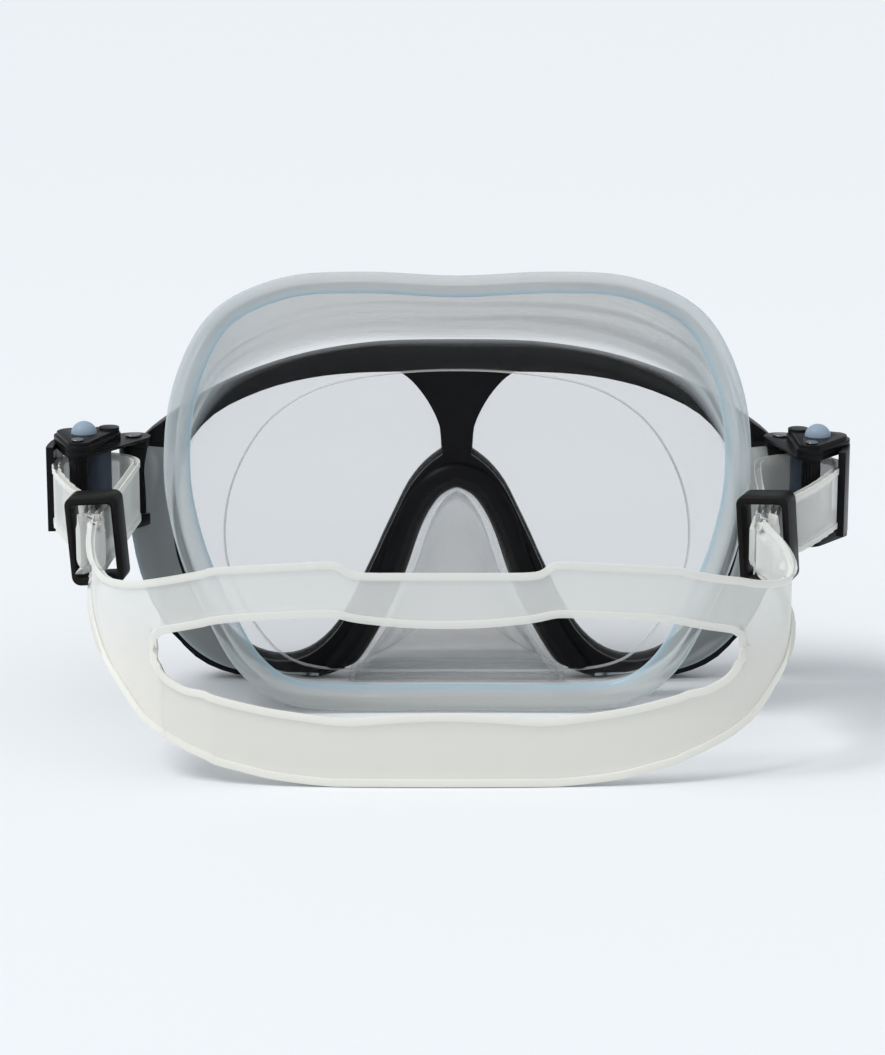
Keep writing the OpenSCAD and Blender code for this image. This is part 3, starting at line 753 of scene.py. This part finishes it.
stations = smooth_line(POCKET_STATIONS, 2)
pocket_marks = [0.25 + 0.15 * k / len(stations) for k in range(len(stations))]
pocket_bm = loft([pocket_loop(*station) for station in stations], pocket_marks,
                 closed_section=False)
front_edges = [e for e in pocket_bm.edges
               if e.is_boundary and all(v.co.y > POCKET_TIP * MM for v in e.verts)]
bmesh.ops.contextual_create(pocket_bm, geom=front_edges)
bmesh.ops.recalc_face_normals(pocket_bm, faces=pocket_bm.faces)
pocket = piece_from(pocket_bm, "nose_pocket", "skirt_silicone", "mask")
add_thickness(pocket, POCKET_WALL)
round_off(pocket)
print("nose pocket sections:", len(stations))

# %% [markdown]
# ## The nose arch
#
# Where the frame arches over the nose, its edge is rounded like half a tube, and a thin flap
# of the skirt lies over it. A curve with a bevel would give a full tube; a few rows along the
# arch give just the half that shows, and the flap can follow the same line.

# %% Cover of the nose arch
line = np.array(arch_line)
along = np.gradient(line, axis=0)
along /= np.linalg.norm(along, axis=1)[:, None]
out_of_arch = np.stack([along[:, 1], -along[:, 0]], axis=1)


def beside_arch(offset, depth, floor):
    """Points along the arch, moved off it in its own plane and kept above a floor."""
    return [(x, depth, max(z, floor)) for x, z in line + out_of_arch * offset]


# How far from the arch's line, how deep, and the mark
ARCH_COVER = [(-0.8, -6.2, 0.3), (0.6, -7.0, 0.24), (2.0, -6.6, 0.22), (3.2, -5.4, 0.22),
              (3.6, -3.4, 0.24)]
COVER_FLOOR = 0.4
cover_bm = marked_bmesh()
bridge(cover_bm, [add_chain(cover_bm, beside_arch(offset, depth, COVER_FLOOR), mark)
                  for offset, depth, mark in ARCH_COVER])
bmesh.ops.recalc_face_normals(cover_bm, faces=cover_bm.faces)
cover = piece_from(cover_bm, "nose_arch_cover", "skirt_silicone", "mask")
round_off(cover)
print("points along the arch:", len(line))

# %% Rounded bead on the nose arch
BEAD_START = 0.4
BEAD_WIDTH = 6.4
BEAD_BASE = -2.9
BEAD_HEIGHT = 2.4
BEAD_ROWS = 7
BEAD_FLOOR = 3.4
bead_bm = bmesh.new()
bead_rows = []
for turn in np.linspace(0, math.pi, BEAD_ROWS):
    offset = BEAD_START + BEAD_WIDTH * (1 - math.cos(turn)) / 2
    depth = BEAD_BASE - BEAD_HEIGHT * math.sin(turn)
    bead_rows.append(add_chain(bead_bm, beside_arch(offset, depth, BEAD_FLOOR)))
bridge(bead_bm, bead_rows)
bmesh.ops.recalc_face_normals(bead_bm, faces=bead_bm.faces)
if sum(f.normal.y * f.calc_area() for f in bead_bm.faces) > 0:
    bmesh.ops.reverse_faces(bead_bm, faces=bead_bm.faces)
bead = piece_from(bead_bm, "nose_arch_bead", "black_plastic", "mask")
round_off(bead)
print("bead rows:", BEAD_ROWS)

# %% [markdown]
# ## The head strap
#
# The strap is moulded flat and milky, split into two bands that spread on the back of the
# head, with a raised rim along every edge. It's drawn as a sheet of columns from the left
# buckle to the right one, each with a lower edge, the floor and the roof of the split, and an
# upper edge. The cells of the split are removed, a border is inset along all the edges and
# raised to make the rim, and a Solidify modifier gives the sheet its thickness. A curve with
# a flat profile is quicker for a plain strap, but it can't split in two.
# The two ends are pieces of their own, because they bend when a buckle swivels.

# %% Strap columns
# x, y, lower edge, floor of the split, roof of the split, upper edge
STRAP_LEFT = [[-80.7, -51.9, 39, 44.2, 46.6, 53], [-80.9, -54.1, 38.2, 43, 45.4, 51.8],
              [-81.0, -57.6, 36, 40.6, 43, 49.4], [-80.2, -62.8, 31.4, 37.4, 39.6, 46.6],
              [-77.4, -68.6, 24.4, 33.4, 35.2, 44], [-73.4, -72.6, 18.6, 31, 32.4, 43.8],
              [-69.4, -75.4, 13.4, 29.6, 31, 44.4], [-65.2, -77.6, 10.4, 27.2, 32, 45.5],
              [-64.0, -78, 9.6, 24.9, 33, 45.8], [-62.2, -78.5, 8.6, 23.2, 33.6, 46.2],
              [-59, -79.3, 7, 21.6, 34.4, 47], [-55, -80.2, 5.4, 21, 35.4, 48],
              [-53, -80.6, 4.4, 20.2, 36, 48.7], [-48, -81.3, 3.2, 19, 36.8, 49.2],
              [-41, -82, 1.6, 17.6, 37.4, 49.8], [-33, -82.6, 0.6, 16.5, 38, 50.4],
              [-27.5, -82.9, 0.15, 15.8, 38.2, 50.7], [-25.2, -83, 0.15, 15.7, 37.9, 50.2],
              [-23, -83.1, 0.15, 15.6, 37.4, 48.7], [-19.5, -83.2, 0.15, 15.9, 36.9, 48.3],
              [-12, -83.35, 0.15, 16.5, 36.2, 48.3]]
STRAP_MIDDLE = [[-2.8, -83.4, 0.15, 16.8, 35.9, 48.3]]
STRAP_RIGHT = [[6.4, -83.35, 0.15, 16.5, 36.2, 48.3], [13.9, -83.2, 0.15, 15.9, 36.9, 48.3],
               [17.4, -83.1, 0.15, 15.6, 37.4, 48.7], [19.6, -83, 0.15, 15.7, 37.9, 50.2],
               [21.9, -82.9, 0.15, 15.8, 38.2, 50.7], [27.6, -82.6, 0.6, 16.5, 38, 50.4],
               [35.8, -82, 1.6, 17.6, 37.4, 49.8], [42.6, -81.2, 3.2, 19, 36.8, 49.2],
               [47.6, -80.4, 4.4, 20.2, 36, 48.7], [49.8, -80, 5.4, 21, 35.4, 48],
               [53.8, -79, 7, 21.6, 34.4, 47], [57.4, -77.9, 8.6, 23.2, 33.6, 46.2],
               [59.4, -77.2, 9.6, 24.9, 33, 45.8], [60.8, -76.6, 10.4, 27.2, 32, 45.5],
               [64.8, -74.8, 13.4, 29.6, 31, 44.4], [68.8, -71.8, 18.6, 31, 32.4, 43.6],
               [72.2, -67.8, 24.2, 33, 34.8, 43.4], [73.4, -62.6, 31, 37, 39.2, 45.4],
               [71.6, -57.8, 35.8, 40.4, 42.8, 48.6], [68.4, -54.2, 38.2, 43, 45.4, 51.6],
               [67.2, -51.4, 39, 44.2, 46.6, 53]]
STRAP_STEPS = 3
STRAP_THICKNESS = 1.7
RIM_WIDTH = 1.7
RIM_HEIGHT = 0.35
ARM_COLUMNS = 12
SPLIT_FIRST = 7
strap_columns = smooth_line(STRAP_LEFT + STRAP_MIDDLE + STRAP_RIGHT, STRAP_STEPS)
total = len(strap_columns)
# Lower band, split, upper band: from which entry of a column to which, in how many cells
BAND_ROWS = [(2, 3, 4), (3, 4, 2), (4, 5, 4)]
print("strap columns:", total)

# %% Sheet helpers
def column_points(column):
    """Points up one column."""
    points = []
    for low, high, cells in BAND_ROWS:
        for k in range(cells):
            z = column[low] + (column[high] - column[low]) * k / cells
            points.append((column[0], column[1], z))
    return points + [(column[0], column[1], column[5])]


def in_split(face, split_start, split_end):
    """Whether a cell of the sheet lies between the floor and the roof of the split."""
    per_column = sum(cells for low, high, cells in BAND_ROWS) + 1
    columns = [v.index // per_column for v in face.verts]
    levels = [v.index % per_column for v in face.verts]
    return (split_start <= min(columns) and max(columns) <= split_end
            and BAND_ROWS[0][2] <= min(levels)
            and max(levels) <= BAND_ROWS[0][2] + BAND_ROWS[1][2])


def bridged_sheet(columns_of_points):
    """A sheet made by bridging one column of points to the next."""
    bm = bmesh.new()
    chains = [add_chain(bm, points) for points in columns_of_points]
    bm.verts.index_update()
    bridge(bm, chains)
    return bm


def face_outward(bm, inside):
    """Turns a sheet's normals away from a point inside the loop that it makes."""
    bmesh.ops.recalc_face_normals(bm, faces=bm.faces)
    away = sum(f.normal.dot(f.calc_center_median() - inside) * f.calc_area() for f in bm.faces)
    if away < 0:
        bmesh.ops.reverse_faces(bm, faces=bm.faces)


def raise_rim(bm, width, height):
    """Insets a border along every open edge and raises it by a small height."""
    layer = bm.verts.layers.float.new("rim")
    rim = bmesh.ops.inset_region(bm, faces=bm.faces[:], thickness=width * MM,
                                 use_boundary=True, use_even_offset=True)["faces"]
    bm.normal_update()
    raised = bmesh.ops.extrude_face_region(bm, geom=rim)["geom"]
    for vert in [v for v in raised if isinstance(v, bmesh.types.BMVert)]:
        vert.co += vert.normal * height * MM
        vert[layer] = 1.0
    bmesh.ops.delete(bm, geom=rim, context="FACES_ONLY")
    bm.normal_update()


# Edges of a sheet sharper than this many degrees are eased
SHEET_ANGLE = 50


def thicken(bm, thickness, edge):
    """The sheet with its thickness and eased edges, from the two modifiers, as a new bmesh."""
    data = bpy.data.meshes.new("sheet")
    bm.to_mesh(data)
    bm.free()
    sheet = add_object("sheet", data)
    add_thickness(sheet, thickness)
    add_bevel(sheet, edge, SHEET_ANGLE)
    thick = bmesh.new()
    thick.from_object(sheet, bpy.context.evaluated_depsgraph_get())
    bpy.data.objects.remove(sheet)
    return thick


print("sheet helpers ready")

# %% Head strap
STRAP_EDGE = 0.22
HEAD_MIDDLE = Vector((-0.003, -0.04, 0.03))
strap_bm = bridged_sheet([column_points(column) for column in strap_columns])
split_start = SPLIT_FIRST * STRAP_STEPS
split = [f for f in strap_bm.faces if in_split(f, split_start, total - 1 - split_start)]
bmesh.ops.delete(strap_bm, geom=split, context="FACES")
face_outward(strap_bm, HEAD_MIDDLE)
raise_rim(strap_bm, RIM_WIDTH, RIM_HEIGHT)
strap_bm = thicken(strap_bm, STRAP_THICKNESS, STRAP_EDGE)
arm = ARM_COLUMNS * STRAP_STEPS
seam_left = strap_columns[arm][0] * MM
seam_right = strap_columns[total - 1 - arm][0] * MM
strap_length = np.linalg.norm(np.diff(strap_columns[:, :2], axis=0), axis=1).sum()
print("strap faces:", len(strap_bm.faces), "length in plan (mm):", round(strap_length))

# %% [markdown]
# ## Strap arms that bend
#
# When a buckle swivels, the end of the strap goes with it and the back of the strap stays.
# Cutting the finished sheet in three keeps every thickness and rim the same on both sides of a
# cut. Bones could bend one whole strap, but a blend between two bodies is simpler to read.

# %% Strap pieces
def strap_part(name, low, high, body):
    """The piece of the strap between two values of x. Its cut ends stay open, so no wall
    shows through the milky band where two pieces meet."""
    bm = strap_bm.copy()
    others = [f for f in bm.faces if not low < f.calc_center_median().x < high]
    bmesh.ops.delete(bm, geom=others, context="FACES")
    return piece_from(bm, name, "strap_silicone", body)


strap_pieces = {"left": strap_part("strap_arm_left", -1.0, seam_left, None),
                "middle": strap_part("strap_back", seam_left, seam_right, "mask"),
                "right": strap_part("strap_arm_right", seam_right, 1.0, None)}
strap_bm.free()
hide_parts("head_strap")
# Each arm has stopped bending a little before its seam, so the seam stays shut
still = arm - STRAP_STEPS
for name, first, last in (("left", 0, still), ("right", total - 1, total - 1 - still)):
    start, end = [Vector((c[0], c[1], 0)) * MM for c in strap_columns[[first, last]]]
    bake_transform(strap_pieces[name], "buckle_" + name, "mask", start=start, end=end)
print("strap pieces:", [piece.name for piece in strap_pieces.values()])

# %% [markdown]
# ## The loops through the buckles
#
# Each end of the strap runs forward along the inside of its buckle, round the roller, and back
# along the outside. It's the same sheet as the head strap, drawn along a curve in the buckle's
# own plan, with the fine upright ribs that the lock bar bites into. The ribs could be bump
# only, but they show on the outline of the band, so every other column is pushed outwards.

# %% Strap loops
LOOP_WAY = [[0.1, -41.8, 46], [0.1, -36, 46], [0, -31.4, 46.5], [-1.5, -25, 48.6],
            [-2.9, -18, 51], [-2.6, -11.5, 51.4], [1.2, -7, 51.4], [6.6, -5.35, 51.4],
            [12, -7.6, 51.4], [14.1, -13, 51.4], [13.2, -20.2, 51.2], [9.4, -25.6, 49.2],
            [4.4, -29.6, 47], [2.5, -33.4, 46.2], [2.3, -37, 46], [2.3, -41.4, 46]]
LOOP_STEPS = 6
HALF_BAND = 7.0
HALF_THICK = 0.95
LOOP_EDGE = 0.2
LOOP_RIM = (1.3, 0.25)
LOOP_MIDDLE = (5.5, -16, 51)
# Every other column between these two stands out as a rib
RIBBED = (50, 84)
RIB_HEIGHT = 0.28
HINGE = (75.5, -10.0)
# How far each buckle is turned at rest, in degrees
SWING = {"left": 7.0, "right": -11.5}
SIDE = {"left": -1, "right": 1}


def buckle_place(name, point):
    """A point in a buckle's own plan, in the mask's frame."""
    turn = math.radians(SWING[name])
    x = HINGE[0] + point[0] * math.cos(turn) - point[1] * math.sin(turn)
    y = HINGE[1] + point[0] * math.sin(turn) + point[1] * math.cos(turn)
    return SIDE[name] * x, y, point[2]


print("hinge of each buckle (mm):", HINGE)

# %% Strap bands round the rollers
way = smooth_line(LOOP_WAY, LOOP_STEPS)
way_along = np.gradient(way[:, :2], axis=0)
way_along /= np.linalg.norm(way_along, axis=1)[:, None]
outer_way = way.copy()
ribs = np.zeros(len(way))
ribs[RIBBED[0]:RIBBED[1]:2] = RIB_HEIGHT
outer_way[:, :2] += (np.stack([-way_along[:, 1], way_along[:, 0]], axis=1)
                     * (HALF_THICK + ribs)[:, None])
for name in ("left", "right"):
    columns = [[buckle_place(name, (x, y, z + rise))
                for rise in np.linspace(-HALF_BAND, HALF_BAND, 5)]
               for x, y, z in outer_way]
    loop_bm = bridged_sheet(columns)
    face_outward(loop_bm, Vector(buckle_place(name, LOOP_MIDDLE)) * MM)
    raise_rim(loop_bm, *LOOP_RIM)
    loop = piece_from(thicken(loop_bm, 2 * HALF_THICK, LOOP_EDGE),
                      "strap_band_" + name, "strap_silicone", "buckle_" + name)
    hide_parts("strap_loop_" + name)
    print("loop", name, "vertices:", len(loop.data.vertices))

# %% [markdown]
# ## Eased edges on the hard parts
#
# No moulding has a knife edge. Each hard part is a merged copy of the mechanical mesh with a
# Bevel modifier, so it keeps its measured shape and catches a thin highlight along its edges.
# It could be bevelled in the mechanical model too, but there the edges have to stay sharp for
# the fits to be checked.

# %% Hard parts with eased edges
# How wide each family's bevel is, in millimetres
EASED = {"main_frame": 0.5, "front_bezel": 0.5, "buckle_body": 0.35, "buckle_cap": 0.5,
         "release_button": 0.15, "strap_keeper": 0.5, "strap_roller": 0.3, "lock_bar": 0.15,
         "lock_pin": 0.2, "hinge_pin": 0.2}
EASED_ANGLE = 35
FLAT_ANGLE = math.radians(1.0)
SAME_PLACE = 1e-6


def merged_copy(node, ending):
    """A copy of a node with its doubled vertices merged, which stands for the node."""
    source = frame["nodes"][node]
    slot = [row["material_slot"] for row in frame["record"]["subparts"]
            if row["node"] == node][0]
    bm = bmesh.new()
    bm.from_mesh(source.data)
    bmesh.ops.transform(bm, matrix=source.matrix_world, verts=bm.verts)
    bmesh.ops.remove_doubles(bm, verts=bm.verts, dist=SAME_PLACE)
    bmesh.ops.dissolve_limit(bm, angle_limit=FLAT_ANGLE, verts=bm.verts, edges=bm.edges)
    bmesh.ops.recalc_face_normals(bm, faces=bm.faces)
    piece = piece_from(bm, node + ending, slot, body_of(source)[0])
    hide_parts(node)
    return piece


def eased_copy(node, width):
    """A merged copy of a node with bevelled edges."""
    piece = merged_copy(node, "_eased")
    add_bevel(piece, width, EASED_ANGLE).harden_normals = True
    return piece


eased = [eased_copy(row["node"], EASED[family])
         for row in frame["record"]["subparts"] for family in EASED
         if row["node"] in (family, family + "_left", family + "_right")]
print("eased parts:", len(eased))

# %% [markdown]
# ## Button springs
#
# A small coil lifts each button. It stays with its buckle and has a mesh of its own.

# %% Button springs
for name in ("left", "right"):
    low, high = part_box("button_spring_" + name)
    coil = merged_copy("button_spring_" + name, "_coil")
    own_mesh(coil)
    print("spring", name, "height (mm):", round((high[2] - low[2]) / MM, 2))
